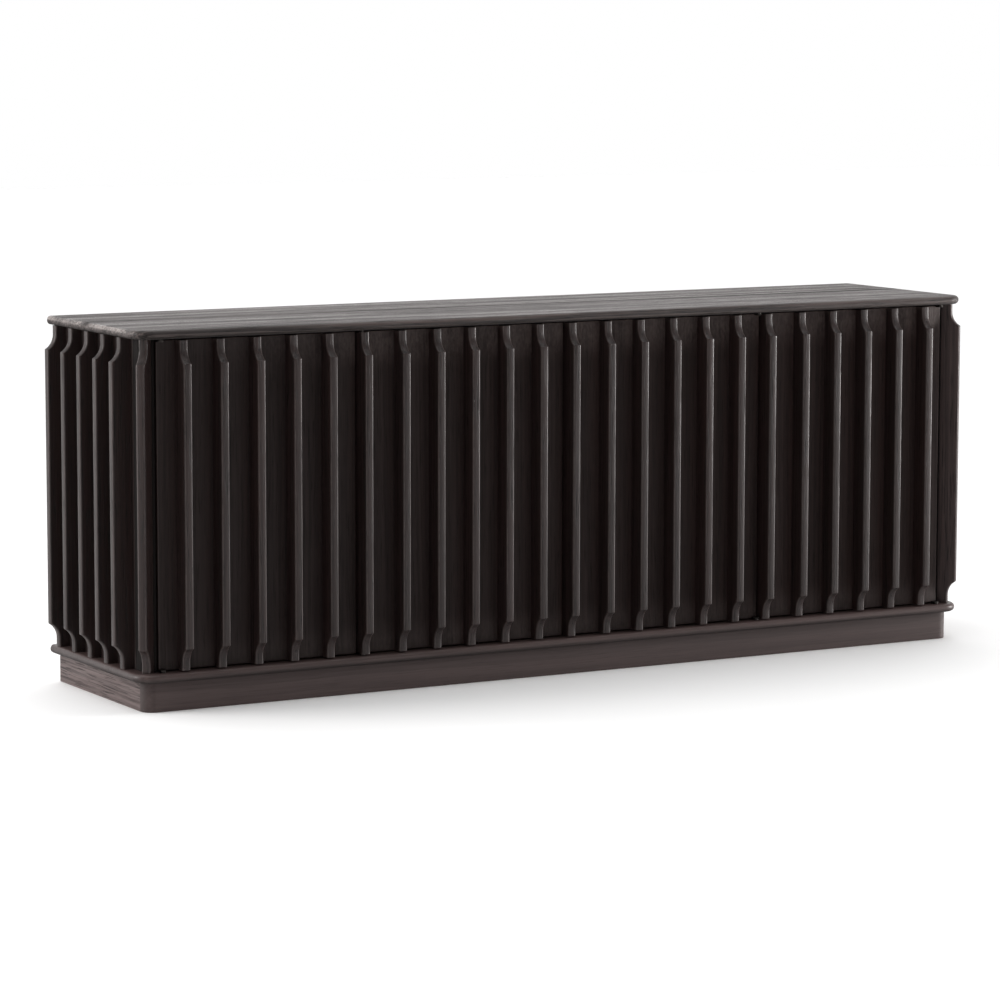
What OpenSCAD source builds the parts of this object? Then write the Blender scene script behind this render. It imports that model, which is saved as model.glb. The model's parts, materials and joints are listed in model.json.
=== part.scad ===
// Four-door sideboard with upright fins on its doors, front corners and sides.
// Millimetres, +Z up, front towards -Y, origin at the middle of the footprint on the floor.

/* [Overall] */
// Width across the outer edges of the side fins
overall_w = 2007; // [1990:1:2020]
// Depth from the front fins' outer edges to the back
overall_d = 462; // [460:1:480]
// Height of the top surface
overall_h = 757; // [740:1:800]

/* [Boards] */
// Thickness of the top and of the base board
board_t = 18; // [16:1:22]
// How far the top stands back from the fins' outer edges
top_inset = 15; // [12:1:17]
// How far the base board stands back from the fins' outer edges
base_inset = 14; // [12:1:16]
// Plan radius of the front corners of the top and of the base board
corner_r = 42; // [30:1:45]
// Depth of the top's back plank
back_plank_d = 196; // [180:1:260]
// Thickness of the door and side panels
panel_t = 20; // [19:1:24]
// Thickness of the partitions and shelves
partition_t = 18; // [16:1:20]
// Height of the underside of the shelves
shelf_z = 400; // [300:1:500]
// Thickness of the back panel
back_t = 8; // [6:1:10]

/* [Plinth] */
// Height of the plinth
plinth_h = 61; // [50:1:80]
// How far the plinth stands back from the fins' outer edges
plinth_inset = 35; // [30:1:45]
// Plan radius of the plinth's front corners, and its front board's thickness
plinth_r = 25; // [22:1:32]
// Thickness of the plinth's side and back boards
plinth_t = 22; // [18:1:26]

/* [Fins] */
// Thickness of a fin
fin_t = 18; // [16:1:20]
// How far a fin stands out of its panel
fin_out = 40; // [36:1:44]
// Depth of the housing that a fin is glued into
fin_seat = 6; // [4:1:7]
// Distance between fins
fin_pitch = 80; // [78:1:80]
// Depth of the notch at each end of a fin
notch_d = 18; // [14:1:22]
// Radius of the notch's hollow curve
notch_r = 34; // [28:1:40]
// Straight height of the neck, before the hollow curve
neck_h = 18; // [14:1:24]
// Distance from the front to the middle of the first side fin
side_fin_y = 112; // [110:1:114]

/* [Doors] */
// Width of door 1, between the middles of its gaps
door_1_w = 441; // [440:0.5:450]
// Width of doors 2 and 3, between the middles of their gaps
door_mid_w = 482.5; // [481:0.5:484]
// Gap around the doors
door_gap = 3; // [2.5:0.1:4]
// Distance from the left corner's edge to door 1's first fin
corner_margin = 43; // [40:0.5:45]
// Distance from a door's edge fin to its second fin, middle to middle
first_bay = 85; // [83:1:86]

/* [Hinges] */
// How far the hinge axis stands in front of the panel's face
axis_forward = 8; // [7.8:0.1:8.4]
// Distance from the hinge axis to the door's edge, and the leaf's end radius
axis_edge = 6; // [5.5:0.1:6.2]
// Radius of a hinge pin
pin_r = 3; // [2:0.1:3.5]
// Radial clearance of a pin in a door's hinge leaf
pin_fit = 0.05; // [0.02:0.01:0.1]
// Thickness of a hinge leaf
leaf_t = 3; // [2.5:0.1:4]

/* [Hidden] */
$fn = 64;
half_w = overall_w / 2;
y_front = -overall_d / 2;
y_back = overall_d / 2;
y_panel = y_front + fin_out;
x_side = half_w - fin_out;
z_base = plinth_h;
z_floor = plinth_h + board_t;
z_top = overall_h - board_t;
eps = 1;

// Front corner posts: a flat of this leg at 45 degrees carries the corner fin
corner_cut = 25;
post_w = 40;
post_d = 52;
opening_w = 2 * (x_side - corner_cut);
door_back = y_panel + panel_t;
// Everything behind the doors starts here
y_carcass = door_back + 2;
door_z0 = z_floor + door_gap;
door_z1 = z_top - door_gap;
door_h = door_z1 - door_z0;

// Middles of the gaps, from the left post to the right post
gap_x = [
    -opening_w / 2,
    -opening_w / 2 + door_1_w,
    -opening_w / 2 + door_1_w + door_mid_w,
    -opening_w / 2 + door_1_w + 2 * door_mid_w,
    opening_w / 2
];
DOORS = [1, 2, 3, 4];
function fin_count(door) = door == 1 ? 5 : 6;
function door_left(door) = gap_x[door - 1] + door_gap / 2;
function door_right(door) = gap_x[door] - door_gap / 2;
function hinged_left(door) = door <= 2;
function hinge_x(door) = hinged_left(door) ? door_left(door) + axis_edge : door_right(door) - axis_edge;
function fin_x(door, i) = door == 1
    ? gap_x[0] + corner_margin + fin_t / 2 + i * fin_pitch
    : door_left(door) + fin_t / 2 + (i == 0 ? 0 : first_bay + (i - 1) * fin_pitch);
axis_y = y_panel - axis_forward;

SIDE_FINS = [0, 1, 2, 3, 4];
function side_y(i) = y_front + side_fin_y + i * fin_pitch;

// Hinge leaves, screws and catches
bar_w = 11;
bar_l = 54;
bar_y = 7;
fixed_l = 24;
collar_r = 5;
pin_short = 0.3;
head_r = 3.2;
head_h = 1.6;
shank_r = 1.6;
screw_l = 12;
door_screw_x = [24, 46];
fixed_screw_y = [12, 24];
catch_size = [40, 18, 22];
catch_edge = 32;
catch_air = 0.3;
strike_drop = 14;

// Carcass interior
x_inner = x_side - panel_t;
rebate = 10;
back_y = y_back - 14.5;
back_edge = y_back - 2;
shelf_air = 1;
// The shelves stop behind the corner posts
shelf_front = y_panel + post_d + shelf_air;
peg_r = 2.5;
peg_in = 8;
peg_out = 9;
peg_y = [y_carcass + 50, back_y - 50];
bays = [
    [-x_inner, gap_x[1] - partition_t / 2],
    [gap_x[1] + partition_t / 2, gap_x[3] - partition_t / 2],
    [gap_x[3] + partition_t / 2, x_inner]
];
back_screw_z = [z_floor + 60, (z_floor + z_top) / 2, z_top - 60];
back_screw_x = [-x_inner - rebate / 2, gap_x[1], gap_x[3], x_inner + rebate / 2];

WOOD = [0.15, 0.13, 0.125];
TOP_WOOD = [0.42, 0.39, 0.38];
PLINTH_WOOD = [0.22, 0.19, 0.18];
INSIDE = [0.24, 0.2, 0.17];
STEEL = [0.22, 0.21, 0.2];

CARCASS_NODES = [
    "top_board_front", "top_board_back", "base_board",
    "plinth_front", "plinth_left", "plinth_right", "plinth_back",
    "side_panel_left", "side_panel_right", "corner_post_left", "corner_post_right",
    "corner_fins", "side_fins_left", "side_fins_right",
    "partition_left", "partition_right", "back_panel",
    "shelf_left", "shelf_center", "shelf_right", "shelf_pins",
    "hinge_leaves_fixed", "hinge_pins", "carcass_screws", "magnetic_catches"
];
DOOR_NODES = [
    for (door = DOORS)
        each concat(
            [for (part = ["panel", "hinge_leaves", "screws"]) str("door_", door, "_", part)],
            [for (i = [1:fin_count(door)]) str("door_", door, "_fin_", i)]
        )
];

// ---- Shared shapes ----

// Half of a disc, on the +X side of the origin
module half_disc(r) {
    intersection() {
        circle(r);
        translate([0, -r]) square([r, 2 * r]);
    }
}

// Board whose front and side edges are fully rounded, from its front edge back to y1
module bullnose_board(inset, z, y1) {
    r = board_t / 2;
    x_edge = half_w - inset;
    x_arc = x_edge - corner_r;
    y_edge = y_front + inset;
    y_arc = y_edge + corner_r;
    translate([0, 0, z + r]) {
        translate([-x_edge + r, y_arc, -r]) cube([2 * (x_edge - r), y1 - y_arc, board_t]);
        translate([-x_arc, y_edge + r, -r]) cube([2 * x_arc, corner_r - r, board_t]);
        translate([x_arc, y_edge + r, 0]) rotate([0, -90, 0]) rotate([0, 0, -90])
            linear_extrude(2 * x_arc) half_disc(r);
        for (side = [-1, 1]) {
            translate([side * x_arc, y_arc, 0]) {
                corner_round(side, r);
            }
            edge_strip(side, x_edge - r, y_arc, y1, r);
        }
    }
}

// Quarter of a round corner: a flat quarter disc with a half-round rim
module corner_round(side, r) {
    rotate([0, 0, side > 0 ? -90 : 180]) {
        rotate_extrude(angle = 90, $fn = 128) {
            square([corner_r - r, r]);
            translate([0, -r]) square([corner_r - r, r]);
            translate([corner_r - r, 0]) half_disc(r);
        }
    }
}

// Half-round strip along Y, flat against the board
module edge_strip(side, x, y0, y1, r) {
    translate([side * x, side > 0 ? y1 : y0, 0]) rotate([90, 0, side > 0 ? 0 : 180])
        linear_extrude(y1 - y0) half_disc(r);
}

// Rectangular board between two corners
module board(low, high) {
    translate(low) cube(high - low);
}

// Side view of a fin between two heights, x outwards from its panel, y upwards.
// Both notches are set out from the boards above and below it.
module fin_outline(seat, z0, z1) {
    neck_x = fin_out - notch_d;
    difference() {
        translate([-seat, z0]) square([seat + fin_out, z1 - z0]);
        translate([neck_x, z_floor]) square([notch_d + eps, neck_h]);
        translate([neck_x + notch_r, z_floor + neck_h]) circle(notch_r, $fn = 128);
        translate([neck_x, z_top - neck_h]) square([notch_d + eps, neck_h]);
        translate([neck_x + notch_r, z_top - neck_h]) circle(notch_r, $fn = 128);
    }
}

// Fin whose root is at (x, y) on its panel's face, pointing at the given angle in plan
module fin(x, y, angle, seat, z0, z1) {
    translate([x, y, 0]) rotate([90, 0, angle])
        linear_extrude(fin_t, center = true) fin_outline(seat, z0, z1);
}

// Countersunk screw with its head's face at the origin, pointing down
module screw() {
    translate([0, 0, -head_h]) cylinder(h = head_h, r1 = shank_r, r2 = head_r);
    translate([0, 0, -screw_l]) cylinder(h = screw_l - head_h, r = shank_r);
}

// Plan of a fixed hinge leaf: the axis at the origin, running backwards
module fixed_leaf_plan() {
    rotate([0, 0, -90]) half_disc(axis_edge);
    translate([-axis_edge, 0]) square([2 * axis_edge, fixed_l]);
    translate([0, fixed_l]) rotate([0, 0, 90]) half_disc(axis_edge);
}

// Plan of a door's hinge leaf: a bar in the panel's edge and a tongue out to the axis
module door_leaf_plan() {
    rotate([0, 0, -90]) half_disc(axis_edge);
    translate([-axis_edge, 0]) square([2 * axis_edge, axis_forward + bar_y]);
    translate([-axis_edge, axis_forward + bar_y]) square([bar_l + axis_edge, bar_w]);
}

// Repeats its children at a door's hinge axis, for the lower and the upper hinge.
// Up to the middle of the door, z runs from the door's edge into the door.
module at_hinges(door) {
    for (upper = [0, 1])
        translate([hinge_x(door), axis_y, upper ? door_z1 : door_z0])
            mirror([0, 0, upper]) mirror([hinged_left(door) ? 0 : 1, 0, 0]) children();
}

// Space that a door's hinge leaves fill
module door_leaves(door) {
    at_hinges(door) linear_extrude(leaf_t) door_leaf_plan();
}

// Space that the fixed hinge leaves of one door fill
module fixed_leaves(door) {
    at_hinges(door) translate([0, 0, -door_gap - leaf_t]) linear_extrude(leaf_t) fixed_leaf_plan();
}

// Screws in a door: four in its hinge leaves, and one that its catch holds
module door_screw_set(door) {
    at_hinges(door) for (x = door_screw_x)
        translate([x, axis_forward + bar_y + bar_w / 2, 0]) mirror([0, 0, 1]) screw();
    translate([catch_x(door), door_back, catch_z()]) rotate([-90, 0, 0]) screw();
}

// Screws in the fixed leaves of one door
module fixed_screw_set(door) {
    at_hinges(door) for (y = fixed_screw_y) translate([0, y, -door_gap]) screw();
}

// A catch holds the door's free edge
function catch_x(door) = hinged_left(door) ? door_right(door) - catch_edge : door_left(door) + catch_edge;
function catch_z() = z_top - strike_drop;

module back_screw_set() {
    for (x = back_screw_x) for (z = back_screw_z)
        translate([x, back_y + back_t, z]) rotate([-90, 0, 0]) screw();
}

// ---- Top and base ----

module top_cuts() {
    for (door = DOORS) {
        fixed_leaves(door);
        fixed_screw_set(door);
    }
}

module top_board_front() {
    color(TOP_WOOD) difference() {
        bullnose_board(top_inset, z_top, y_back - back_plank_d);
        top_cuts();
    }
}

module top_board_back() {
    r = board_t / 2;
    x_flat = half_w - top_inset - r;
    y0 = y_back - back_plank_d;
    color(TOP_WOOD) {
        board([-x_flat, y0, z_top], [x_flat, y_back, overall_h]);
        for (side = [-1, 1])
            translate([0, 0, z_top + r]) edge_strip(side, x_flat, y0, y_back, r);
    }
}

module base_board() {
    color(WOOD) difference() {
        bullnose_board(base_inset, z_base, y_back);
        top_cuts();
    }
}

// ---- Plinth ----

module plinth_front() {
    x_arc = half_w - plinth_inset - plinth_r;
    y_arc = y_front + plinth_inset + plinth_r;
    color(PLINTH_WOOD) linear_extrude(plinth_h) {
        translate([-x_arc, y_arc - plinth_r]) square([2 * x_arc, plinth_r]);
        for (side = [-1, 1]) intersection() {
            translate([side * x_arc, y_arc]) circle(plinth_r, $fn = 128);
            translate([side > 0 ? x_arc : -x_arc - plinth_r, y_arc - plinth_r])
                square([plinth_r, plinth_r]);
        }
    }
}

module plinth_side(side) {
    x_out = half_w - plinth_inset;
    x0 = side > 0 ? x_out - plinth_t : -x_out;
    y0 = y_front + plinth_inset + plinth_r;
    color(PLINTH_WOOD) board([x0, y0, 0], [x0 + plinth_t, y_back, plinth_h]);
}

module plinth_left() {
    plinth_side(-1);
}

module plinth_right() {
    plinth_side(1);
}

module plinth_back() {
    x1 = half_w - plinth_inset - plinth_t;
    color(PLINTH_WOOD) board([-x1, y_back - plinth_t, 0], [x1, y_back, plinth_h]);
}

// ---- Carcass ----

// Shelf pegs along one upright, pointing both ways out of the face at x
module pegs(x, way) {
    for (y = peg_y)
        translate([x - way * peg_in, y, shelf_z - peg_r]) rotate([0, way * 90, 0])
            cylinder(h = peg_in + peg_out, r = peg_r);
}

module all_pegs() {
    for (bay = bays) {
        pegs(bay[0], 1);
        pegs(bay[1], -1);
    }
}

module side_panel(side) {
    color(WOOD) difference() {
        board(
            [side > 0 ? x_inner : -x_side, y_panel + post_d, z_floor],
            [side > 0 ? x_side : -x_inner, back_edge, z_top]
        );
        for (i = SIDE_FINS)
            translate([side * (x_side - fin_seat / 2 + eps / 2), side_y(i), (z_floor + z_top) / 2])
                cube([fin_seat + eps, fin_t, z_top - z_floor + 2 * eps], center = true);
        board(
            [side > 0 ? x_inner - eps : -x_inner - rebate, back_y, z_floor - eps],
            [side > 0 ? x_inner + rebate : -x_inner + eps, y_back, z_top + eps]
        );
        all_pegs();
        back_screw_set();
    }
}

module side_panel_left() {
    side_panel(-1);
}

module side_panel_right() {
    side_panel(1);
}

// Post with a flat at 45 degrees for the corner fin and a rebate that the door closes into
module corner_post(side) {
    x_nib = opening_w / 2 + door_gap / 2;
    color(WOOD) translate([0, 0, z_floor]) linear_extrude(z_top - z_floor)
        polygon([
            for (p = [
                [x_nib, y_panel + door_gap / 2],
                [x_side, y_panel + corner_cut],
                [x_side, y_panel + post_d],
                [x_side - post_w, y_panel + post_d],
                [x_side - post_w, y_carcass],
                [x_nib, y_carcass]
            ]) [side * p[0], p[1]]
        ]);
}

module corner_post_left() {
    corner_post(-1);
}

module corner_post_right() {
    corner_post(1);
}

module corner_fins() {
    x = x_side - corner_cut / 2;
    y = y_panel + corner_cut / 2;
    color(WOOD) {
        fin(-x, y, -135, 0, z_floor, z_top);
        fin(x, y, -45, 0, z_floor, z_top);
    }
}

module side_fins_left() {
    color(WOOD) for (i = SIDE_FINS) fin(-x_side, side_y(i), 180, fin_seat, z_floor, z_top);
}

module side_fins_right() {
    color(WOOD) for (i = SIDE_FINS) fin(x_side, side_y(i), 0, fin_seat, z_floor, z_top);
}

module partition(x) {
    color(INSIDE) difference() {
        board([x - partition_t / 2, y_carcass, z_floor], [x + partition_t / 2, back_y, z_top]);
        all_pegs();
        back_screw_set();
    }
}

module partition_left() {
    partition(gap_x[1]);
}

module partition_right() {
    partition(gap_x[3]);
}

module back_panel() {
    color(INSIDE) difference() {
        board([-x_inner - rebate, back_y, z_floor], [x_inner + rebate, back_y + back_t, z_top]);
        back_screw_set();
    }
}

module shelf(bay) {
    color(INSIDE) board(
        [bay[0] + shelf_air, shelf_front, shelf_z],
        [bay[1] - shelf_air, back_y - shelf_air, shelf_z + partition_t]
    );
}

module shelf_left() {
    shelf(bays[0]);
}

module shelf_center() {
    shelf(bays[1]);
}

module shelf_right() {
    shelf(bays[2]);
}

module shelf_pins() {
    color(STEEL) all_pegs();
}

// ---- Fixed hardware ----

module hinge_leaves_fixed() {
    color(STEEL) for (door = DOORS) difference() {
        fixed_leaves(door);
        fixed_screw_set(door);
        at_hinges(door) translate([0, 0, -door_gap - leaf_t - eps]) cylinder(h = leaf_t + 2 * eps, r = pin_r);
    }
}

module hinge_pins() {
    color(STEEL) for (door = DOORS) at_hinges(door) {
        translate([0, 0, -door_gap - leaf_t]) cylinder(h = door_gap + 2 * leaf_t - pin_short, r = pin_r);
        translate([0, 0, -door_gap]) cylinder(h = door_gap, r = collar_r);
    }
}

module carcass_screws() {
    color(STEEL) {
        for (door = DOORS) fixed_screw_set(door);
        back_screw_set();
    }
}

module magnetic_catches() {
    color([0.2, 0.19, 0.18]) for (door = DOORS)
        translate([catch_x(door) - catch_size[0] / 2, door_back + catch_air, z_top - catch_size[2]])
            cube(catch_size);
}

// ---- Doors ----

module door_panel(door) {
    color(WOOD) difference() {
        board([door_left(door), y_panel, door_z0], [door_right(door), door_back, door_z1]);
        for (i = [0:fin_count(door) - 1])
            translate([fin_x(door, i) - fin_t / 2, y_panel - eps, door_z0 - eps])
                cube([fin_t, fin_seat + eps, door_h + 2 * eps]);
        door_leaves(door);
        door_screw_set(door);
    }
}

module door_hinge_leaves(door) {
    color(STEEL) difference() {
        door_leaves(door);
        door_screw_set(door);
        at_hinges(door) translate([0, 0, -eps]) cylinder(h = leaf_t + 2 * eps, r = pin_r + pin_fit);
    }
}

module door_screws(door) {
    color(STEEL) door_screw_set(door);
}

// The edge fin of door 2 is cut away for the hinge leaves' tongues
module door_fin(door, i) {
    color(WOOD) difference() {
        fin(fin_x(door, i), y_panel, -90, fin_seat, door_z0, door_z1);
        if (i == 0 && door > 1 && hinged_left(door)) door_leaves(door);
    }
}

// ---- Drawing ----

top_board_front();
top_board_back();
base_board();
plinth_front();
plinth_left();
plinth_right();
plinth_back();
side_panel_left();
side_panel_right();
corner_post_left();
corner_post_right();
corner_fins();
side_fins_left();
side_fins_right();
partition_left();
partition_right();
back_panel();
shelf_left();
shelf_center();
shelf_right();
shelf_pins();
hinge_leaves_fixed();
hinge_pins();
carcass_screws();
magnetic_catches();
for (door = DOORS) {
    door_panel(door);
    door_hinge_leaves(door);
    door_screws(door);
    for (i = [1:fin_count(door)])
        door_fin(door, i - 1);
}
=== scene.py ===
"""Looks of the sideboard: dark stained wood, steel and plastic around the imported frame."""

import json
import math
import bmesh
import bpy
from mathutils import Matrix, Vector, noise

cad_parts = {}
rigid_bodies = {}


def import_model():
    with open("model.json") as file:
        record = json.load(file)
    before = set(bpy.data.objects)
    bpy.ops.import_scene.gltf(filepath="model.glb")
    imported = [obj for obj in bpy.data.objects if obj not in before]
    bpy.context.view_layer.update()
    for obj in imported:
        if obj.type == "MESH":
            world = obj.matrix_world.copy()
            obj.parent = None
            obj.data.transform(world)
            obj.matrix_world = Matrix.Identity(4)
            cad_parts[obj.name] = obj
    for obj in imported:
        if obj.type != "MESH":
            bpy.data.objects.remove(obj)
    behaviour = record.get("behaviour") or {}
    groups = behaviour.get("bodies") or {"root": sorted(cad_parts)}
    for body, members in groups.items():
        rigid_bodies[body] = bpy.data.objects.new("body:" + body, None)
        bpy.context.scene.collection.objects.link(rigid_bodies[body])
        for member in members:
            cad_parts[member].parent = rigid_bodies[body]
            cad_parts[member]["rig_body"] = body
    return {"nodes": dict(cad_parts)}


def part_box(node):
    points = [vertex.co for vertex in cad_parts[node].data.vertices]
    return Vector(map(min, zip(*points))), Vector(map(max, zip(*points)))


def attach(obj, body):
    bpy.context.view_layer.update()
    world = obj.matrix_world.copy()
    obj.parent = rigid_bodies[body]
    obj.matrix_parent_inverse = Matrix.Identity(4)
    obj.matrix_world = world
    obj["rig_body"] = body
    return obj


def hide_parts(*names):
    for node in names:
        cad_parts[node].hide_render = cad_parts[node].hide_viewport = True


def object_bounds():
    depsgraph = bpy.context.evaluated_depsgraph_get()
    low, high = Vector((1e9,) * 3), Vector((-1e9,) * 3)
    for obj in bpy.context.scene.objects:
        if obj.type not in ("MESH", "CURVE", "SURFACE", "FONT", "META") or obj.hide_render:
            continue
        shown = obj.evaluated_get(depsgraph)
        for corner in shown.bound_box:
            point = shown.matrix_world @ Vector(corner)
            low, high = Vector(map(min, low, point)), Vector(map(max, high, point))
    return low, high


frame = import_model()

cad_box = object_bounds()
NODES = frame["nodes"]
MM = 0.001

# The fins stand between the base board's upper face and the top's lower one
BASE_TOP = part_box("base_board")[1].z
TOP_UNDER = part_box("top_board_front")[0].z

# Shapes that the frame's boxes don't give, in metres
FIN_T = 18 * MM
FIN_OUT = 40 * MM
FIN_SEAT = 6 * MM
FIN_PITCH = 80 * MM
NOTCH_D = 18 * MM
NOTCH_R = 34 * MM
NECK_H = 18 * MM
CORNER_R = 42 * MM
PLINTH_R = 25 * MM
CORNER_CUT = 25 * MM
SIDE_FINS = 5

# How far edges are rounded. SEAM is the joint between the top's two boards
ARRIS = 1.6 * MM
FIN_ARRIS = 4.2 * MM
SOFT_EDGE = 1.2 * MM
FINE_EDGE = 0.8 * MM
SEAM = 2.0 * MM

# How worn edges are, and how far wear and dirt reach from them over a board's faces
FIN_RUB = 0.55
BOARD_RUB = 0.35
MOULDED_RUB = 0.3
WEAR_REACH = 3.5 * MM
SEAM_REACH = 12 * MM
ROUGH_END = 7 * MM
# How much painted shade darkens the corner posts
POST_SHADE = 0.7

# Each door's share of its wood's colour, raised door by door to the right as painted light from the
# right-hand lamp, and each corner fin's
DOOR_LIGHT_TONES = {"door_1": 0.88, "door_2": 1.03, "door_3": 1.12, "door_4": 1.2}
CORNER_FIN_TONES = {"left": 1.05, "right": 1.7}

# How far metal stands proud of the wood that it's let into
LEAF_PROUD = 0.15 * MM
HEAD_PROUD = 0.2 * MM

X_AXIS = Vector((1, 0, 0))
Y_AXIS = Vector((0, 1, 0))
Z_AXIS = Vector((0, 0, 1))


# ---- Node trees ----


class Tree:
    """A node tree with short calls: a number or colour sets a socket, and a socket links to it."""

    def __init__(self, owner):
        owner.use_nodes = True
        self.tree = owner.node_tree

    def add(self, kind, inputs=None, **settings):
        node = self.tree.nodes.new("ShaderNode" + kind)
        for name, value in settings.items():
            setattr(node, name, value)
        for key, value in (inputs or {}).items():
            self.put(node.inputs[key], value)
        return node

    def put(self, socket, value):
        if isinstance(value, bpy.types.NodeSocket):
            self.tree.links.new(value, socket)
        else:
            socket.default_value = value

    def math(self, operation, a, b=0.0):
        return self.add("Math", {0: a, 1: b}, operation=operation).outputs[0]

    def vector(self, operation, a, b):
        return self.add("VectorMath", {0: a, 1: b}, operation=operation).outputs[0]

    def mix(self, factor, a, b):
        node = self.add("Mix", data_type="RGBA")
        for index, value in ((0, factor), (6, a), (7, b)):
            self.put(node.inputs[index], value)
        return node.outputs[2]

    def noise(self, vector, stretch, detail=3.0, rough=0.55):
        """Noise with its own scale, per metre, on each axis."""
        scaled = self.vector("MULTIPLY", vector, stretch)
        inputs = {"Vector": scaled, "Scale": 1.0, "Detail": detail, "Roughness": rough}
        return self.add("TexNoise", inputs).outputs["Fac"]

    def ramp(self, factor, low, high):
        """0 below low, 1 above high."""
        inputs = {0: factor, 1: low, 2: high, 3: 0.0, 4: 1.0}
        return self.add("MapRange", inputs, interpolation_type="SMOOTHSTEP").outputs[0]


def rgba(colour):
    return (*colour, 1.0)


# Which axes become the grain's X, Y and Z, for grain along each axis
GRAIN_ORDER = {"X": (1, 2, 0), "Y": (2, 0, 1), "Z": (0, 1, 2)}

# Scales of the wood's patterns, per metre, the last one along the grain
SWAYS = (5, 5, 0.9)
BANDS = (34, 34, 0.7)
STREAKS = (170, 170, 2.2)
FIBRES = (1000, 1000, 20)
PORES = (420, 420, 14)
BROAD_PATCHES = (30, 30, 14)
FINE_PATCHES = (210, 210, 90)

SWAY_REACH = 30 * MM
RING_SHARE = 0.25
TONE_SPREAD = 0.24


def grain_coordinates(tree, axis):
    """Coordinates in metres whose Z runs along the grain, different on each piece."""
    place = tree.add("TexCoord").outputs["Object"]
    shift = tree.add("Attribute", attribute_name="shift").outputs["Vector"]
    parts = tree.add("SeparateXYZ", {0: tree.vector("ADD", place, shift)}).outputs
    order = GRAIN_ORDER[axis]
    return tree.add("CombineXYZ", {i: parts[order[i]] for i in range(3)}).outputs[0]


def painted_notch_light(tree, patches, amount):
    """Painted light close above the base and below the top, in patches where light falls through the
    fins' notches, fading out to the left away from the right-hand lamp.
    """
    at = tree.add("SeparateXYZ", {0: tree.add("TexCoord").outputs["Object"]}).outputs
    above = tree.ramp(at[2], TOP_UNDER - 90 * MM, TOP_UNDER - 25 * MM)
    below = tree.ramp(at[2], BASE_TOP + 75 * MM, BASE_TOP + 15 * MM)
    near = tree.math("MAXIMUM", above, tree.math("MULTIPLY", below, 0.4))
    along = tree.math("MULTIPLY", tree.ramp(at[0], -1.0, -0.3), amount)
    mottled = tree.math("MULTIPLY", tree.ramp(patches, 0.5, 1.5), along)
    return tree.math("MULTIPLY", near, mottled)


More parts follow.
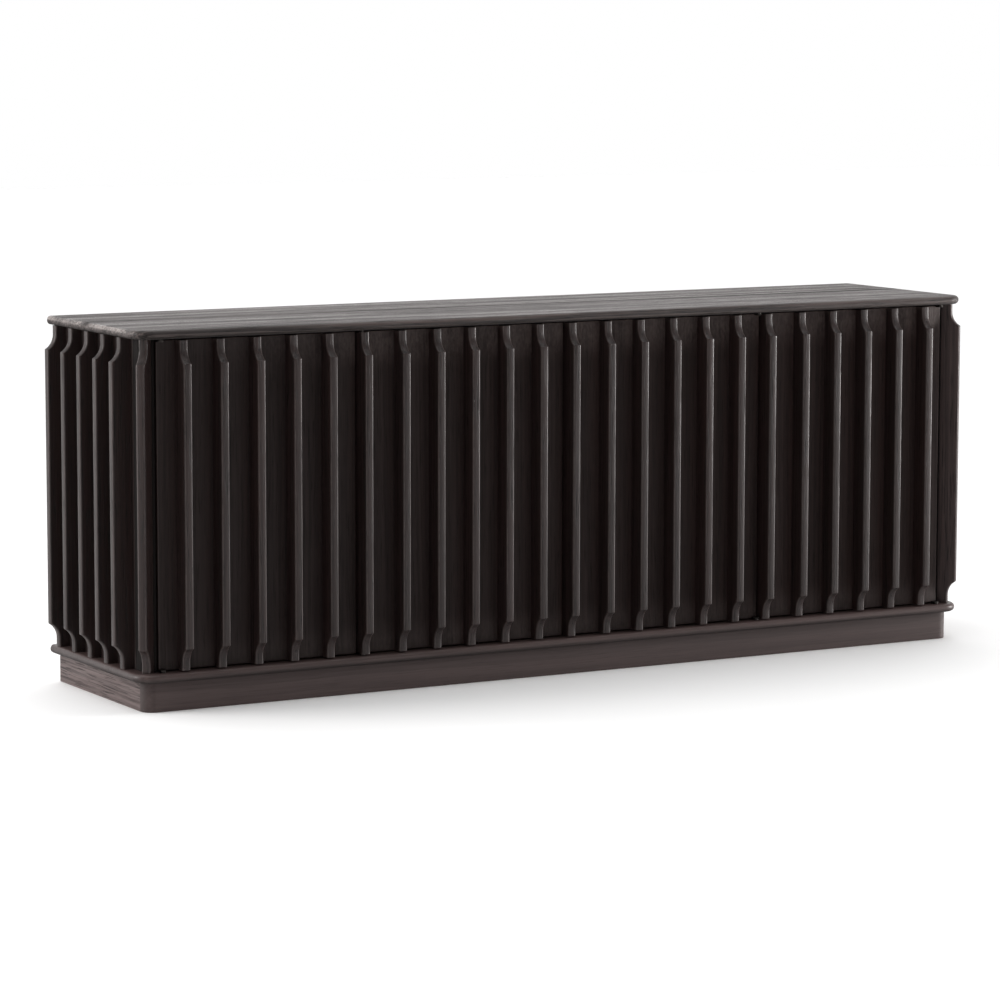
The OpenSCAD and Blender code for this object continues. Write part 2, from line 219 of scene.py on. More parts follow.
def wood(name, axis, dark, light, wear_and_painted_shading, rough=0.5, figure=1.0, streak=0.8, wave=2.2, relief=1.0,
         end=0.5, specular=0.35, patchy=0.4, notch_light=0.0):
    """Open-pored stained wood with broad figure, growth rings, fibres, pores and rubbed edges,
    darkened by dirt in joints and by painted shade where the wear attribute is below 0.

    figure and streak are the strengths of the broad and the fine pattern, wave the broad
    pattern's share of the relief, end how dark the end grain is, patchy how uneven the wear
    is, and the last argument how much painted light lies in patches beside the fins' notches,
    where light falls through them.
    """
    material = bpy.data.materials.new(name)
    t = Tree(material)
    place = grain_coordinates(t, axis)
    sway = t.add("TexNoise", {"Vector": t.vector("MULTIPLY", place, SWAYS), "Scale": 1.0})
    bend = t.vector("SUBTRACT", sway.outputs["Color"], (0.5, 0.5, 0.5))
    bend = t.vector("MULTIPLY", bend, (SWAY_REACH, SWAY_REACH, 0.0))
    grain = t.vector("ADD", place, bend)

    rings = t.add("TexWave", {
        "Vector": t.vector("MULTIPLY", grain, (1, 1, 0.05)),
        "Scale": 30.0, "Distortion": 6.0, "Detail": 3.0, "Detail Scale": 0.7,
    }, wave_type="RINGS", rings_direction="Z", wave_profile="SAW").outputs["Fac"]
    bands = t.noise(grain, BANDS, 5.0, 0.62)
    streaks = t.noise(grain, STREAKS, 6.0, 0.68)
    fibres = t.noise(grain, FIBRES, 2.0)
    pores = t.ramp(t.noise(grain, PORES, 2.0), 0.56, 0.66)
    patches = t.math("ADD", t.noise(place, BROAD_PATCHES, 4.0), t.noise(place, FINE_PATCHES, 3.0))

    tone = t.math("ADD", t.math("MULTIPLY", bands, figure), t.math("MULTIPLY", streaks, streak))
    tone = t.math("ADD", tone, t.math("MULTIPLY", rings, RING_SHARE * figure))
    centre = 0.5 * (figure + streak + RING_SHARE * figure)
    tone = t.ramp(tone, centre - TONE_SPREAD, centre + TONE_SPREAD)
    piece = t.add("Attribute", attribute_name="tone").outputs["Fac"]
    pitted = t.math("MULTIPLY", pores, min(0.6, 0.75 * streak))
    shade = t.math("MULTIPLY", t.math("SUBTRACT", 1.0, pitted), piece)
    body = t.vector("SCALE", t.mix(tone, rgba(dark), rgba(light)), (0, 0, 0))
    t.put(body.node.inputs["Scale"], shade)

    facing = t.add("SeparateXYZ", {0: t.add("TexCoord").outputs["Normal"]}).outputs["XYZ".index(axis)]
    end_grain = t.ramp(t.math("ABSOLUTE", facing), 0.55, 0.95)
    body = t.mix(t.math("MULTIPLY", end_grain, end), body, rgba(tuple(0.5 * c for c in dark)))

    edge = t.add("Attribute", attribute_name="wear").outputs["Fac"]
    worn_edge = t.math("MAXIMUM", edge, 0.0)
    uneven = t.math("MULTIPLY", t.ramp(patches, 0.75, 1.2), patchy)
    uneven = t.math("ADD", uneven, 1.0 - patchy)
    rubbed_and_lit = t.math("MULTIPLY", t.math("POWER", worn_edge, 2.5), uneven)
    # Painted light in patches beside the fins' notches, on the doors
    if notch_light:
        rubbed_and_lit = t.math("ADD", rubbed_and_lit, painted_notch_light(t, patches, notch_light))
    # Below 0 the wear attribute gives dirt in joints and painted shade
    dirt_and_shade = t.math("MULTIPLY", t.math("MINIMUM", edge, 0.0), -1.0)
    colour = t.mix(t.math("MULTIPLY", rubbed_and_lit, 0.9), body, rgba(wear_and_painted_shading))
    colour = t.mix(t.math("MULTIPLY", dirt_and_shade, 0.95), colour, rgba(GRIME_AND_SHADE))

    height = t.math("ADD", t.math("MULTIPLY", streaks, 1.1 * streak), t.math("MULTIPLY", fibres, 0.3))
    height = t.math("ADD", height, t.math("MULTIPLY", bands, wave * figure))
    height = t.math("ADD", height, t.math("MULTIPLY", rings, RING_SHARE * figure))
    height = t.math("SUBTRACT", height, t.math("MULTIPLY", pitted, 1.1))
    bump = t.add("Bump", {"Height": height, "Strength": 0.8, "Distance": 0.8 * MM * relief})
    gloss = t.math("MULTIPLY", t.math("SUBTRACT", bands, 0.5), -0.7 * figure)
    fine = t.math("MULTIPLY", t.math("SUBTRACT", streaks, 0.5), -0.5 * streak)
    gloss = t.math("ADD", gloss, fine)
    gloss = t.math("ADD", gloss, t.math("MULTIPLY", pitted, 0.35))
    gloss = t.math("ADD", gloss, t.math("MULTIPLY", dirt_and_shade, 0.5))
    gloss = t.math("SUBTRACT", gloss, t.math("MULTIPLY", worn_edge, 0.2))

    shader = t.tree.nodes["Principled BSDF"]
    t.put(shader.inputs["Base Color"], colour)
    t.put(shader.inputs["Roughness"], t.math("ADD", gloss, rough))
    t.put(shader.inputs["Normal"], bump.outputs[0])
    shader.inputs["Specular IOR Level"].default_value = specular
    return material


def steel(name, colour=(0.035, 0.031, 0.029), rough=0.4):
    """Brushed steel with a blackened finish, a little tarnished."""
    material = bpy.data.materials.new(name)
    t = Tree(material)
    place = t.add("TexCoord").outputs["Object"]
    lines = t.noise(place, (300, 3000, 3000), 2.0)
    stains = t.noise(place, (90, 90, 90), 4.0)
    dull = t.ramp(stains, 0.45, 0.7)
    darker = tuple(0.6 * c for c in colour)
    shader = t.tree.nodes["Principled BSDF"]
    t.put(shader.inputs["Base Color"], t.mix(dull, rgba(colour), rgba(darker)))
    roughness = t.math("ADD", t.math("MULTIPLY", dull, 0.2), t.math("MULTIPLY", lines, 0.15))
    t.put(shader.inputs["Roughness"], t.math("ADD", roughness, rough))
    bump = t.add("Bump", {"Height": lines, "Strength": 0.4, "Distance": 0.05 * MM})
    t.put(shader.inputs["Normal"], bump.outputs[0])
    shader.inputs["Metallic"].default_value = 1.0
    return material


def plastic(name, colour=(0.045, 0.036, 0.03)):
    """Moulded plastic with a fine spark-eroded texture."""
    material = bpy.data.materials.new(name)
    t = Tree(material)
    place = t.add("TexCoord").outputs["Object"]
    grain = t.noise(place, (2500, 2500, 2500), 2.0)
    dust = t.ramp(t.noise(place, (120, 120, 120), 4.0), 0.5, 0.75)
    paler = tuple(1.6 * c for c in colour)
    shader = t.tree.nodes["Principled BSDF"]
    t.put(shader.inputs["Base Color"], t.mix(dust, rgba(colour), rgba(paler)))
    t.put(shader.inputs["Roughness"], t.math("ADD", t.math("MULTIPLY", grain, 0.3), 0.35))
    bump = t.add("Bump", {"Height": grain, "Strength": 0.5, "Distance": 0.08 * MM})
    t.put(shader.inputs["Normal"], bump.outputs[0])
    return material


BODY_DARK = (0.0095, 0.0044, 0.0039)
BODY_LIGHT = (0.0268, 0.0147, 0.0134)
# Colour of worn edges, also the colour of the painted light beside the doors' notches
BODY_WORN_AND_LIT = (0.2, 0.155, 0.143)
# Panel wood, darker than the fins' wood: its own stain, with painted shade for the bays between the fins
PANEL_DARK_SHADED = (0.0072, 0.003, 0.0025)
PANEL_LIGHT_SHADED = (0.0215, 0.0112, 0.0098)
TOP_DARK = (0.014, 0.0085, 0.0076)
TOP_LIGHT = (0.085, 0.063, 0.058)
TOP_WORN = (0.27, 0.235, 0.22)
PLINTH_DARK = (0.03, 0.0175, 0.0162)
PLINTH_LIGHT = (0.088, 0.06, 0.057)
# Colour of dirt in joints, and of painted shade
GRIME_AND_SHADE = (0.004, 0.0032, 0.003)
INSIDE_DARK = (0.034, 0.023, 0.017)
INSIDE_LIGHT = (0.085, 0.06, 0.045)

body_z = wood(
    "body_wood_upright", "Z", BODY_DARK, BODY_LIGHT, BODY_WORN_AND_LIT, rough=0.48, figure=0.4, wave=0.8,
    relief=0.5, patchy=0.75)
panel_z, door_z = (
    wood(
        name, "Z", PANEL_DARK_SHADED, PANEL_LIGHT_SHADED, BODY_WORN_AND_LIT, rough=0.55, figure=0.5, streak=0.5, wave=0.8,
        relief=0.45, specular=0.24, notch_light=notch_light)
    for name, notch_light in (("panel_wood_upright", 0.0), ("door_wood_upright", 0.3))
)
base_x = wood(
    "base_wood_lengthwise", "X", PLINTH_DARK, PLINTH_LIGHT, BODY_WORN_AND_LIT, rough=0.42, figure=0.3,
    streak=0.3, wave=0.4, relief=0.35)
top_x = wood(
    "top_wood", "X", TOP_DARK, TOP_LIGHT, TOP_WORN, rough=0.45, figure=1.2, streak=1.3, wave=1.4,
    relief=1.3, end=0.0, patchy=1.0)
plinth_x = wood(
    "plinth_wood_lengthwise", "X", PLINTH_DARK, PLINTH_LIGHT, BODY_WORN_AND_LIT, figure=0.25, streak=0.25,
    wave=0.3, relief=0.3)
plinth_y = wood(
    "plinth_wood_side", "Y", PLINTH_DARK, PLINTH_LIGHT, BODY_WORN_AND_LIT, figure=0.6, streak=1.4,
    relief=1.2)
inside_z = wood("inside_wood_upright", "Z", INSIDE_DARK, INSIDE_LIGHT, TOP_WORN, relief=0.5)
inside_x = wood("inside_wood_lengthwise", "X", INSIDE_DARK, INSIDE_LIGHT, TOP_WORN, relief=0.5)
hinge_steel = steel("brushed_steel")
catch_plastic = plastic("moulded_plastic")


# ---- Outlines, in the plane of a board ----


class Corner:
    """A corner of an outline: its plan radius, and how far the edge after it is rounded.

    rub is how worn that edge is, and below 0 it's dirty instead.
    """

    def __init__(self, x, y, plan=0.0, edge=ARRIS, rub=1.0):
        self.at = Vector((x, y))
        self.plan = plan
        self.edge = edge
        self.rub = rub


def arc_steps(radius):
    """How many parts a plan radius is drawn in."""
    return 12 if radius > 20 * MM else 8 if radius > 8 * MM else 3


def split(a, b, step, lead):
    """Points between a and b: a short first and last part, with even parts between."""
    length = (b - a).length
    if length < 3 * lead:
        return []
    count = max(1, round((length - 2 * lead) / step))
    marks = [lead + (length - 2 * lead) * i / count for i in range(count + 1)]
    return [a + (b - a) * (m / length) for m in marks]


class Spot:
    """A point of a fine outline, with the lines before and after it and how far each is rounded.

    On a plan radius, arc is its corner, centre, radius and the point's share of the way round.
    """

    def __init__(self, at, lines, edges, wear, rub, arc=None):
        self.at, self.lines, self.edges, self.arc = at, lines, edges, arc
        self.wear, self.rub = wear, rub

    def inwards(self, depth):
        """Where the point goes when each edge moves inwards by depth(its rounding)."""
        d0, d1 = depth(self.edges[0]), depth(self.edges[1])
        base = self.at
        if self.arc:
            base, centre, plan, share = self.arc
            if max(d0, d1) < plan:
                return centre + (self.at - centre) * (1 - (d0 + (d1 - d0) * share) / plan)
        n0, n1 = (Vector((-line.y, line.x)) for line in self.lines)
        det = n0.x * n1.y - n0.y * n1.x
        if abs(det) < 0.02:
            return base + (n0 + n1).normalized() * (d0 + d1) / 2
        return base + Vector((d0 * n1.y - d1 * n0.y, n0.x * d1 - n1.x * d0)) / det


def round_corner(corner, lines, edges, rub):
    """Spots along a corner's arc, and how far the arc reaches along its edges."""
    half = (math.pi - lines[0].angle(lines[1])) / 2
    if corner.plan <= 0 or half > math.pi / 2 - 0.01:
        return [Spot(corner.at, lines, edges, 0.6 if half < 1.4 else 0.0, rub)], 0.0
    reach = corner.plan / math.tan(half)
    inward = (lines[1] - lines[0]).normalized()
    centre = corner.at + inward * corner.plan / math.sin(half)
    start = corner.at - lines[0] * reach - centre
    steps = arc_steps(corner.plan)
    wear = 1.0 if corner.plan < 5 * MM else 0.0
    spots = []
    for k in range(steps + 1):
        share = k / steps
        at = centre + Matrix.Rotation(share * (math.pi - 2 * half), 2) @ start
        spots.append(Spot(at, lines, edges, wear, rub, (corner.at, centre, corner.plan, share)))
    return spots, reach


def trace(corners, step):
    """Fine outline of spots from its corners."""
    count = len(corners)
    seams = any(c.edge == SEAM for c in corners)
    lead = max(c.edge for c in corners) + 1.5 * (SEAM_REACH if seams else WEAR_REACH)
    arcs = []
    for i, corner in enumerate(corners):
        before, after = corners[i - 1], corners[(i + 1) % count]
        lines = ((corner.at - before.at).normalized(), (after.at - corner.at).normalized())
        rub = min(before.rub, corner.rub)
        arcs.append(round_corner(corner, lines, (before.edge, corner.edge), rub))
    spots = []
    for i, (arc, _) in enumerate(arcs):
        spots += arc
        line, edge = arc[-1].lines[1], corners[i].edge
        goal = arcs[(i + 1) % count][0][0].at
        for at in split(arc[-1].at, goal, step, lead):
            spots.append(Spot(at, (line, line), (edge, edge), 0.0, corners[i].rub))
    return spots


def ring_heights(half, radii):
    """Heights of a board's rings from the middle up: flat part, then each rounding's arc."""
    heights = {0.0} if max(radii) < half else set()
    for r in radii:
        steps = 6 if r > 5 * MM else 3
        for k in range(steps + 1):
            heights.add(round(half - r + r * math.sin(k / steps * math.pi / 2), 7))
    low = half - max(radii)
    if low > 2 * WEAR_REACH:
        heights.add(round(low - WEAR_REACH, 7))
    return sorted(heights)


# ---- Boards ----


def finish_mesh(bm, name, material, body, nodes, tone=None):
    """Makes the object, with its grain offset and tone as attributes, and puts it on its body."""
    bmesh.ops.recalc_face_normals(bm, faces=bm.faces)
    for edge in bm.edges:
        edge.smooth = len(edge.link_faces) != 2 or edge.calc_face_angle(0) < math.radians(38)
    flat_mark = bm.faces.layers.int.get("flat")
    for face in bm.faces:
        face.smooth = not (flat_mark and face[flat_mark])
        if not face.smooth:
            for edge in face.edges:
                edge.smooth = False
    mesh = bpy.data.meshes.new(name)
    bm.to_mesh(mesh)
    bm.free()
    mesh.materials.append(material)
    seed = sum(ord(c) * (i + 3) for i, c in enumerate(name)) % 997
    shift = Vector((seed % 31, seed % 17, seed % 13)) * 0.37
    if tone is None:
        tone = 0.9 + 0.2 * ((seed * 7) % 11) / 10
    count = len(mesh.vertices)
    mesh.attributes.new("shift", "FLOAT_VECTOR", "POINT").data.foreach_set("vector", list(shift) * count)
    mesh.attributes.new("tone", "FLOAT", "POINT").data.foreach_set("value", [tone] * count)
    piece = bpy.data.objects.new(name, mesh)
    bpy.context.scene.collection.objects.link(piece)
    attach(piece, body)
    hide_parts(*nodes)
    return piece


def waver(point, reach, scale=30.0):
    """From 0 to reach, slowly changing along an edge as hand sanding leaves it."""
    return reach * (0.5 + 0.5 * noise.noise(point * scale))


def plank(bm, outline, thickness, place, step=12 * MM, uneven=0.25 * MM, rough_end=None, painted_shade=None):
    """Adds a board: the outline, counter-clockwise, with rounded arrises that aren't quite even.

    place takes the outline's plane to the frame, with Z across the board's thickness. The last
    argument gives how much painted shade darkens the edge, from -1 at the board's lower face to
    1 at its upper one.
    """
    spots = trace(outline, step)
    half = thickness / 2
    radii = sorted({min(c.edge, half) for c in outline})
    moulded = max(radii) > 8 * MM
    rolled = not moulded and max(radii) > 2.5 * MM
    upper = ring_heights(half, radii)
    heights = [-h for h in reversed(upper) if h > 0] + upper
    # The wear attribute: rubbing above 0, dirt in joints and painted shade below 0
    wear_and_painted_shading = bm.verts.layers.float.new("wear")
    flat_mark = bm.faces.layers.int.new("flat")
    across = place.to_3x3() @ Z_AXIS
    middle = place @ (sum((s.at for s in spots), Vector((0, 0))) / len(spots)).to_3d()

    def inset(r, height):
        r = min(r, half)
        over = max(0.0, abs(height) - (half - r))
        return r - math.sqrt(max(0.0, r * r - over * over))

    def sanded(point):
        pull = middle - point
        pull = (pull - across * pull.dot(across)).normalized()
        amount = waver(point, uneven)
        if rough_end and rough_end(point):
            amount += waver(point + Vector((3, 1, 2)), 1.5 * uneven, 260.0)
        return point + pull * amount

    def bend_at(height):
        """How much of the wear a ring gets, from how far round its arris it is."""
        share = max(0.0, abs(height) - (half - max(radii))) / max(radii)
        if moulded:
            return 0.35 + 0.65 * share
        if rolled:
            return math.sin(math.pi * share)
        return min(1, 2 * share)

    def wear_at(spot, point, height, bend):
        """How rubbed the board is there; below 0, how dark it is from dirt in joints and from painted
        shade.
        """
        # Painted shade by height on the edge, stored as a wear value below 0
        dirt_and_shade = painted_shade(height / half) if painted_shade else 0.0
        if dirt_and_shade > 0:
            return -dirt_and_shade * abs(spot.rub)
        if spot.rub < 0:
            fade = min(1.0, 0.65 + 0.5 * point.x)
            return spot.rub * min(1.0, 1.5 * bend) * fade
        if rough_end and rough_end(point):
            return spot.rub
        along = (MOULDED_RUB if moulded else 1.0) * bend
        corner = spot.wear if bend > 0 else 0.4 * spot.wear
        return max(along, corner) * spot.rub

    def ring(depth, height, bend):
        verts = []
        for spot in spots:
            at = spot.inwards(depth)
            point = place @ Vector((at.x, at.y, height))
            if uneven and bend > 0:
                point = sanded(point)
            vert = bm.verts.new(point)
            vert[wear_and_painted_shading] = wear_at(spot, point, height, bend)
            verts.append(vert)
        return verts

    def cap_depth(edge):
        return min(edge, half) + (SEAM_REACH if edge == SEAM else WEAR_REACH)

    rings = [ring(cap_depth, -half, 0.0)]
    for h in heights:
        rings.append(ring(lambda edge, h=h: inset(edge, h), h, bend_at(h)))
    rings.append(ring(cap_depth, half, 0.0))
    count = len(spots)
    for a, b in zip(rings, rings[1:]):
        for i in range(count):
            j = (i + 1) % count
            bm.faces.new((a[i], a[j], b[j], b[i]))
    for loop in (list(reversed(rings[0])), rings[-1]):
        bm.faces.new(loop)[flat_mark] = 1
    bmesh.ops.remove_doubles(bm, verts=bm.verts, dist=1e-6)


def frame_matrix(u, v, origin):
    """Takes the plane of u and v, and their normal, to the frame."""
    w = u.cross(v)
    matrix = Matrix((u, v, w)).transposed().to_4x4()
    matrix.translation = origin
    return matrix


def rectangle(x0, y0, x1, y1, plan, edge):
    corners = (x0, y0), (x1, y0), (x1, y1), (x0, y1)
    return [Corner(x, y, plan, edge, BOARD_RUB) for x, y in corners]


def box_board(node, thin, material, body, edge=SOFT_EDGE, step=18 * MM, uneven=0.15 * MM,
              tone=None):
    """A plain board in a CAD node's box, thin along one axis."""
    low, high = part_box(node)
    middle = (low + high) / 2
    across = {"X": (Y_AXIS, Z_AXIS), "Y": (Z_AXIS, X_AXIS), "Z": (X_AXIS, Y_AXIS)}[thin]
    size = high - low
    u, v = abs(size.dot(across[0])) / 2, abs(size.dot(across[1])) / 2
    thickness = abs(size.dot(across[0].cross(across[1])))
    bm = bmesh.new()
    outline = rectangle(-u, -v, u, v, edge, edge)
    plank(bm, outline, thickness, frame_matrix(*across, middle), step, uneven)
    return finish_mesh(bm, node + "_board", material, body, [node], tone)


def nodes_with(part):
    """CAD nodes whose name holds that text, with their bodies."""
    return [(n, NODES[n]["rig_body"]) for n in sorted(NODES) if part in n]


def islands(node):
    """The separate solids of a CAD node, each as its welded corners."""
    bm = bmesh.new()
    bm.from_mesh(NODES[node].data)
    bmesh.ops.remove_doubles(bm, verts=bm.verts, dist=1e-6)
    left, found = set(bm.verts), []
    while left:
        stack, group = [left.pop()], []
        while stack:
            vert = stack.pop()
            group.append(vert.co.copy())
            for edge in vert.link_edges:
                other = edge.other_vert(vert)
                if other in left:
                    left.remove(other)
                    stack.append(other)
        found.append(group)
    bm.free()
    found.sort(key=lambda g: tuple(round(c, 5) for c in sum(g, Vector()) / len(g)))
    return found


def eased_copy(node, width, material, body, push=None, tone=None, recess_shade=0.0):
    """A copy of a CAD node with its outer edges softened.

    push moves each corner, if given, and the last argument is how much painted shade darkens the whole
    copy.
    """
    bm = bmesh.new()
    bm.from_mesh(NODES[node].data)
    bmesh.ops.remove_doubles(bm, verts=bm.verts, dist=1e-6)
    bmesh.ops.dissolve_limit(bm, angle_limit=0.01, verts=bm.verts, edges=bm.edges)
    if push:
        for vert in bm.verts:
            vert.co += push(vert.co)
    sharp = [e for e in bm.edges if e.is_convex and e.calc_face_angle(0) > math.radians(40)]
    bmesh.ops.bevel(bm, geom=sharp, offset=width, segments=2, affect="EDGES", clamp_overlap=True)
    wear_and_painted_shading = bm.verts.layers.float.new("wear")
    # Painted shade over the whole copy, as a wear value below 0
    for vert in bm.verts:
        vert[wear_and_painted_shading] = -recess_shade
    return finish_mesh(bm, node + "_eased", material, body, [node], tone)


# ---- Fins ----


def fin_outline(z0, z1, seat):
    """Side view of a fin: u out of its panel and v upwards, from the board below to the one above."""
    neck = FIN_OUT - NOTCH_D
    shoulder = math.sqrt(NOTCH_R**2 - (NOTCH_R - NOTCH_D) ** 2)
    low, high = BASE_TOP + NECK_H, TOP_UNDER - NECK_H
    soft = {"edge": FIN_ARRIS, "rub": FIN_RUB}
    start, end = math.pi, math.acos((NOTCH_D - NOTCH_R) / NOTCH_R)
    centre = neck + NOTCH_R
    steps = 9
    turns = [start + (end - start) * k / steps for k in range(1, steps)]
    outline = [Corner(-seat, z0, 0, 0.3 * MM), Corner(neck, z0, 0.8 * MM, **soft)]
    outline.append(Corner(neck, low, 0, **soft))
    for a in turns:
        at = centre + NOTCH_R * math.cos(a), low + NOTCH_R * math.sin(a)
        outline.append(Corner(*at, 0, **soft))
    outline.append(Corner(FIN_OUT, low + shoulder, 1.6 * MM, **soft))
    outline.append(Corner(FIN_OUT, high - shoulder, 1.6 * MM, **soft))
    for a in reversed(turns):
        at = centre + NOTCH_R * math.cos(a), high - NOTCH_R * math.sin(a)
        outline.append(Corner(*at, 0, **soft))
    outline.append(Corner(neck, high, 0, **soft))
    outline.append(Corner(neck, z1, 0.8 * MM))
    outline.append(Corner(-seat, z1, 0, 0.3 * MM))
    return outline


def make_fin(name, root, out, z0, z1, body, nodes, seat=FIN_SEAT, tone=None):
    """A fin whose root is at that point of its panel's face."""
    bm = bmesh.new()
    outline = fin_outline(z0, z1, seat)
    place = frame_matrix(out, Z_AXIS, Vector((root.x, root.y, 0)))
    plank(bm, outline, FIN_T, place, 24 * MM, 0.03 * MM)
    return finish_mesh(bm, name, body_z, body, nodes, tone)


def door_fins():
    for node, body in nodes_with("_fin_"):
        low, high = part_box(node)
        root = Vector(((low.x + high.x) / 2, low.y + FIN_OUT, 0))
        make_fin(node + "_shaped", root, -Y_AXIS, low.z, high.z, body, [node])


def side_fins():
    for side, node in ((-1, "side_fins_left"), (1, "side_fins_right")):
        low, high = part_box(node)
        outer = low.x if side < 0 else high.x
        for i in range(SIDE_FINS):
            root = Vector((outer - side * FIN_OUT, low.y + FIN_T / 2 + i * FIN_PITCH, 0))
            name = f"{node}_{i + 1}"
            make_fin(name, root, X_AXIS * side, low.z, high.z, "carcass", [node])


def corner_fins():
    low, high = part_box("corner_fins")
    panel_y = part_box("door_1_panel")[0].y
    x_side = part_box("side_panel_right")[1].x
    for side, word in ((-1, "left"), (1, "right")):
        root = Vector((side * (x_side - CORNER_CUT / 2), panel_y + CORNER_CUT / 2, 0))
        out = Vector((side, -1, 0)).normalized()
        name = "corner_fin_" + word
        make_fin(
            name, root, out, low.z, high.z, "carcass", ["corner_fins"], 0.0, CORNER_FIN_TONES[word])


# ---- Top and base ----


def front_board_outline(low, high, edge, back_edge):
    """Plan of a board with round front corners and a squarer back edge."""
    return [
        Corner(low.x, low.y, CORNER_R, edge),
        Corner(high.x, low.y, CORNER_R, edge),
        Corner(high.x, high.y, 0.0, back_edge, -1.0),
        Corner(low.x, high.y, 0.0, edge),
    ]


def painted_shade_below(share):
    """Painted shade on the lower half of a round edge, darkest at its underside."""
    return 0.1 - 0.8 * share


def painted_shadow_above(share):
    """Painted shadow along a board's upper arris, where the board above overhangs it."""
    return 4 * share - 3.2


def top_and_base():
    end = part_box("top_board_front")[0].x + ROUGH_END

    def left_end(point):
        return point.x < end

    for node, material, slot in (
        ("top_board_front", top_x, "top_wood"),
        ("base_board", base_x, "body_wood"),
    ):
        low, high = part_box(node)
        half = (high.z - low.z) / 2
        bm = bmesh.new()
        place = frame_matrix(X_AXIS, Y_AXIS, Vector((0, 0, low.z + half)))
        is_top = node == "top_board_front"
        outline = front_board_outline(low, high, half, SEAM if is_top else FINE_EDGE)
        rough = left_end if is_top else None
        # The lower half of each round front edge gets painted shade
        plank(bm, outline, 2 * half, place, 7 * MM, 0.3 * MM, rough, painted_shade_below)
        finish_mesh(bm, node + "_moulded", material, "carcass", [node], 1.0)

    low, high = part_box("top_board_back")
    half = (high.z - low.z) / 2
    outline = [
        Corner(low.x, low.y, 0, SEAM, -1.0),
        Corner(high.x, low.y, 0, half),
        Corner(high.x, high.y, 2 * MM, 1.5 * MM),
        Corner(low.x, high.y, 2 * MM, half),
    ]
    bm = bmesh.new()
    place = frame_matrix(X_AXIS, Y_AXIS, Vector((0, 0, low.z + half)))
    # Painted shade on the lower half of its edge too
    plank(bm, outline, 2 * half, place, 7 * MM, 0.3 * MM, left_end, painted_shade_below)
    finish_mesh(bm, "top_board_back_moulded", top_x, "carcass", ["top_board_back"], 1.06)


def plinth():
    low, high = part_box("plinth_front")
    place = frame_matrix(X_AXIS, Y_AXIS, Vector((0, 0, (low.z + high.z) / 2)))
    outline = [
        Corner(low.x, low.y, PLINTH_R - 0.2 * MM, SOFT_EDGE),
        Corner(high.x, low.y, PLINTH_R - 0.2 * MM, SOFT_EDGE),
        Corner(high.x, high.y, FINE_EDGE, SOFT_EDGE),
        Corner(low.x, high.y, FINE_EDGE, SOFT_EDGE),
    ]
    bm = bmesh.new()
    # A painted shadow darkens the plinth's upper arris, under the overhanging base board
    plank(bm, outline, high.z - low.z, place, 12 * MM, 0.15 * MM, painted_shade=painted_shadow_above)
    finish_mesh(bm, "plinth_front_shaped", plinth_x, "carcass", ["plinth_front"], 1.0)
    # Painted light: the left side board's tone is raised above the front's, where the left lamp lights
    # it
    box_board("plinth_left", "X", plinth_y, "carcass", tone=1.25)
    box_board("plinth_right", "X", plinth_y, "carcass", tone=1.15)
    box_board("plinth_back", "Y", plinth_x, "carcass")


# ---- Carcass and doors ----


def carcass():
    for side in ("left", "right"):
        box_board(f"side_panel_{side}", "X", panel_z, "carcass", tone=0.85)
        box_board(f"partition_{side}", "X", inside_z, "carcass")
        # Corner posts get a low tone and painted shade, for the shade in their recess beside the corner
        # fins
        eased_copy(
            f"corner_post_{side}", SOFT_EDGE, panel_z, "carcass", tone=0.5,
            recess_shade=POST_SHADE)
    for word in ("left", "center", "right"):
        box_board(f"shelf_{word}", "Z", inside_x, "carcass")
    box_board("back_panel", "Y", inside_x, "carcass", FINE_EDGE)


def doors():
    for node, body in nodes_with("_panel"):
        if node.startswith("door_"):
            box_board(node, "Y", door_z, body, tone=DOOR_LIGHT_TONES[node[:6]])


# ---- Hardware ----


def hinge_leaves():
    """Leaves that stand a hair proud of the wood they're let into."""
    middle = (cad_box[0].z + cad_box[1].z) / 2
    for node, body in nodes_with("hinge_leaves"):
        inward = 1 if body == "carcass" else -1

        def push(point, inward=inward):
            return Vector((0, 0, LEAF_PROUD * inward * (1 if point.z < middle else -1)))

        eased_copy(node, 0.3 * MM, hinge_steel, body, push)


HEAD_SIDES = 32
CROSS_DEPTH = 0.8 * MM
# Share of the head's radius, and height over the wood, of each ring
HEAD_RINGS = [(1.0, -0.3 * MM), (1.0, 0.0), (0.93, 0.5 * HEAD_PROUD), (0.8, HEAD_PROUD)]


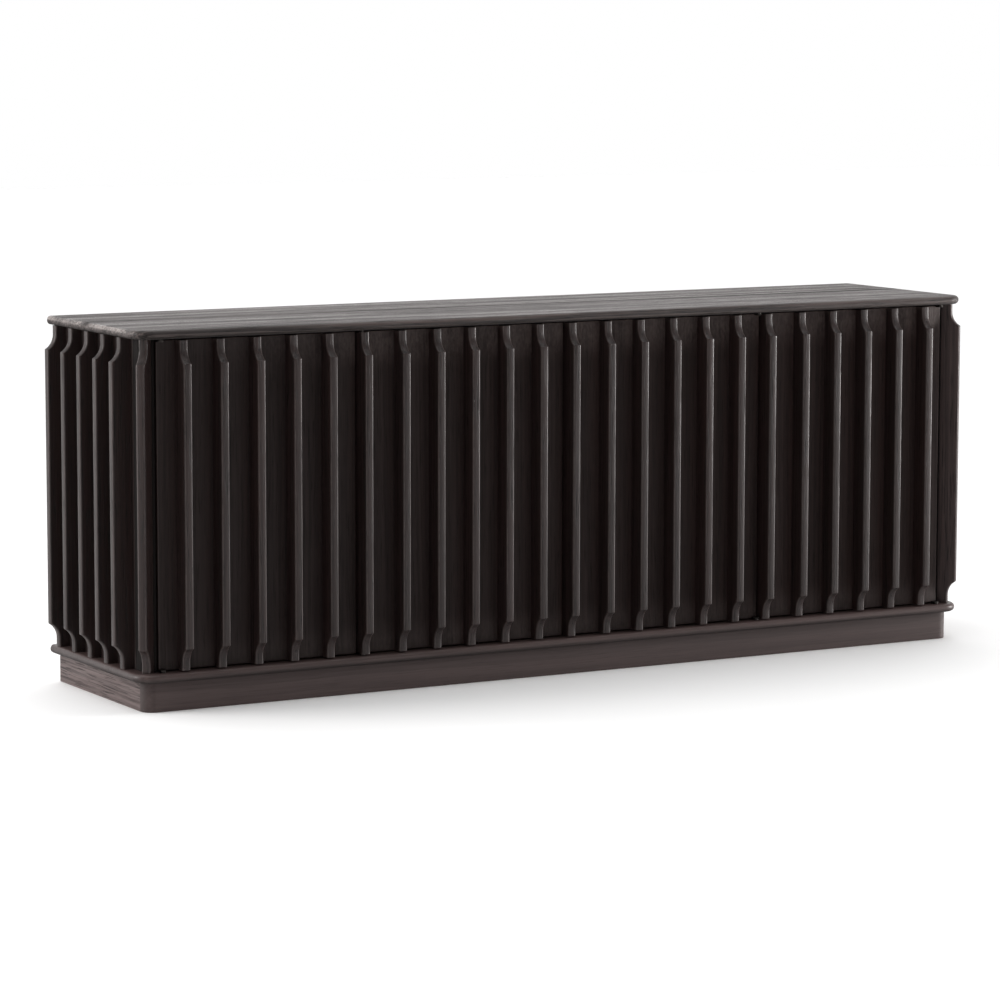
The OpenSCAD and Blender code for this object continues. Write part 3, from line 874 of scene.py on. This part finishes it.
def screw_head(bm, head, axis, radius):
    """A low domed head with a cross recess, its rim at the point head."""
    side = axis.orthogonal().normalized()
    place = frame_matrix(side, axis.cross(side), head)
    slot, arm = 0.16 * radius, 0.62 * radius
    rings = []
    for share, height in HEAD_RINGS:
        ring = []
        for i in range(HEAD_SIDES):
            a = 2 * math.pi * i / HEAD_SIDES
            ring.append(bm.verts.new(place @ Vector((
                share * radius * math.cos(a), share * radius * math.sin(a), height))))
        rings.append(ring)
    for a, b in zip(rings, rings[1:]):
        for i in range(HEAD_SIDES):
            j = (i + 1) % HEAD_SIDES
            bm.faces.new((a[i], a[j], b[j], b[i]))
    cross = []
    for k in range(4):
        spin = Matrix.Rotation(k * math.pi / 2, 2)
        for p in ((arm, -slot), (arm, slot), (slot, slot)):
            cross.append(spin @ Vector(p))
    upper = [bm.verts.new(place @ Vector((p.x, p.y, HEAD_PROUD))) for p in cross]
    lower = [bm.verts.new(place @ Vector((0.8 * p.x, 0.8 * p.y, -CROSS_DEPTH))) for p in cross]
    for i in range(len(cross)):
        j = (i + 1) % len(cross)
        bm.faces.new((upper[i], upper[j], lower[j], lower[i]))
    bm.faces.new(lower)
    top_edges = []
    for loop in (rings[-1], upper):
        for i in range(len(loop)):
            top_edges.append(bm.edges.get((loop[i], loop[(i + 1) % len(loop)])))
    bmesh.ops.triangle_fill(bm, edges=top_edges, use_beauty=True)


def screws():
    for node, body in nodes_with("_screws"):
        bm = bmesh.new()
        for corners in islands(node):
            low = Vector([min(c[k] for c in corners) for k in range(3)])
            high = Vector([max(c[k] for c in corners) for k in range(3)])
            size = high - low
            long_axis = max(range(3), key=lambda k: size[k])
            middle = (low + high) / 2
            wide = max(corners, key=lambda c: (c - middle - Vector(
                [(c - middle)[k] if k == long_axis else 0 for k in range(3)])).length)
            out = 1 if wide[long_axis] > middle[long_axis] else -1
            axis = Vector([out if k == long_axis else 0 for k in range(3)])
            head = middle.copy()
            head[long_axis] = high[long_axis] if out > 0 else low[long_axis]
            radius = min(size[k] for k in range(3) if k != long_axis) / 2
            screw_head(bm, head, axis, radius)
        finish_mesh(bm, node + "_heads", hinge_steel, body, [node])


def small_hardware():
    eased_copy("magnetic_catches", 1.0 * MM, catch_plastic, "carcass")
    eased_copy("hinge_pins", 0.3 * MM, hinge_steel, "carcass")
    eased_copy("shelf_pins", 0.4 * MM, hinge_steel, "carcass")


# ---- Studio ----


# Brightness of the surrounding in front of the sideboard and behind it
WORLD_FRONT = 0.26
WORLD_BACK = 1.15
# Each lamp's name, place, aim, size, power and colour
LAMPS = [
    ("key_left", (-4.5, 1.6, 1.5), (-0.9, 0.1, 0.3), (2.2, 2.2), 122, (1.0, 0.98, 0.97)),
    ("strip_right", (5.0, -1.5, 0.8), (0.3, -0.2, 0.4), (0.6, 1.5), 205, (1.0, 0.98, 0.97)),
]
SUN_STRENGTH = 1.5
SUN_SPREAD = math.radians(70)
FLOOR_DARK = (0.93, 0.93, 0.93)
FLOOR_LIGHT = (0.96, 0.96, 0.96)


def studio():
    """A pale floor, an even pale surrounding and three soft lamps."""
    floor_material = bpy.data.materials.new("pale_floor")
    t = Tree(floor_material)
    place = t.add("TexCoord").outputs["Object"]
    mottle = t.noise(place, (3, 3, 3), 3.0)
    shader = t.tree.nodes["Principled BSDF"]
    t.put(shader.inputs["Base Color"], t.mix(mottle, rgba(FLOOR_DARK), rgba(FLOOR_LIGHT)))
    shader.inputs["Roughness"].default_value = 0.9
    bm = bmesh.new()
    bmesh.ops.create_grid(bm, x_segments=8, y_segments=8, size=20)
    mesh = bpy.data.meshes.new("floor")
    bm.to_mesh(mesh)
    bm.free()
    mesh.materials.append(floor_material)
    floor = bpy.data.objects.new("floor", mesh)
    bpy.context.scene.collection.objects.link(floor)

    world = bpy.data.worlds.new("studio")
    bpy.context.scene.world = world
    t = Tree(world)
    background = t.tree.nodes["Background"]
    seen = t.add("LightPath").outputs["Is Camera Ray"]
    way = t.add("SeparateXYZ", {0: t.add("TexCoord").outputs["Generated"]}).outputs[1]
    glow = t.add("MapRange", {0: way, 1: -0.5, 2: 0.78, 3: WORLD_FRONT, 4: WORLD_BACK}).outputs[0]
    light = t.add("MapRange", {0: seen, 1: 0.0, 2: 1.0, 3: glow, 4: 1.0}).outputs[0]
    background.inputs["Color"].default_value = (1, 1, 1, 1)
    t.put(background.inputs["Strength"], light)

    sun = bpy.data.lights.new("overhead", "SUN")
    sun.energy = SUN_STRENGTH
    sun.angle = SUN_SPREAD
    bpy.context.scene.collection.objects.link(bpy.data.objects.new("overhead", sun))
    for name, at, aim, size, power, tint in LAMPS:
        lamp = bpy.data.lights.new(name, "AREA")
        lamp.shape = "RECTANGLE"
        lamp.size, lamp.size_y = size
        lamp.energy = power
        lamp.color = tint
        holder = bpy.data.objects.new(name, lamp)
        holder.location = at
        holder.rotation_euler = (Vector(aim) - Vector(at)).to_track_quat("-Z", "Y").to_euler()
        holder.visible_camera = False
        bpy.context.scene.collection.objects.link(holder)


CAMERA_AT = (-4.1250, -7.2217, 1.3977)
CAMERA_YAW = 29.389
CAMERA_TILT = 7.222
CAMERA_ROLL = 0.085
SENSOR = 36.0
FOCAL = 3.9516 * SENSOR


def camera():
    yaw, tilt, roll = (math.radians(a) for a in (CAMERA_YAW, CAMERA_TILT, CAMERA_ROLL))
    forward = Vector((
        math.sin(yaw) * math.cos(tilt), math.cos(yaw) * math.cos(tilt), -math.sin(tilt)))
    right = Vector((math.cos(yaw), -math.sin(yaw), 0))
    up = right.cross(forward)
    rolled_right = right * math.cos(roll) + up * math.sin(roll)
    rolled_up = up * math.cos(roll) - right * math.sin(roll)
    data = bpy.data.cameras.new("camera")
    data.sensor_width = SENSOR
    data.lens = FOCAL
    data.clip_end = 100
    holder = bpy.data.objects.new("camera", data)
    matrix = Matrix((rolled_right, rolled_up, -forward)).transposed().to_4x4()
    matrix.translation = CAMERA_AT
    holder.matrix_world = matrix
    bpy.context.scene.collection.objects.link(holder)
    bpy.context.scene.camera = holder


top_and_base()
plinth()
carcass()
doors()
door_fins()
side_fins()
corner_fins()
hinge_leaves()
screws()
small_hardware()
studio()
camera()
bpy.context.scene.view_settings.view_transform = "Standard"

bpy.context.view_layer.update()
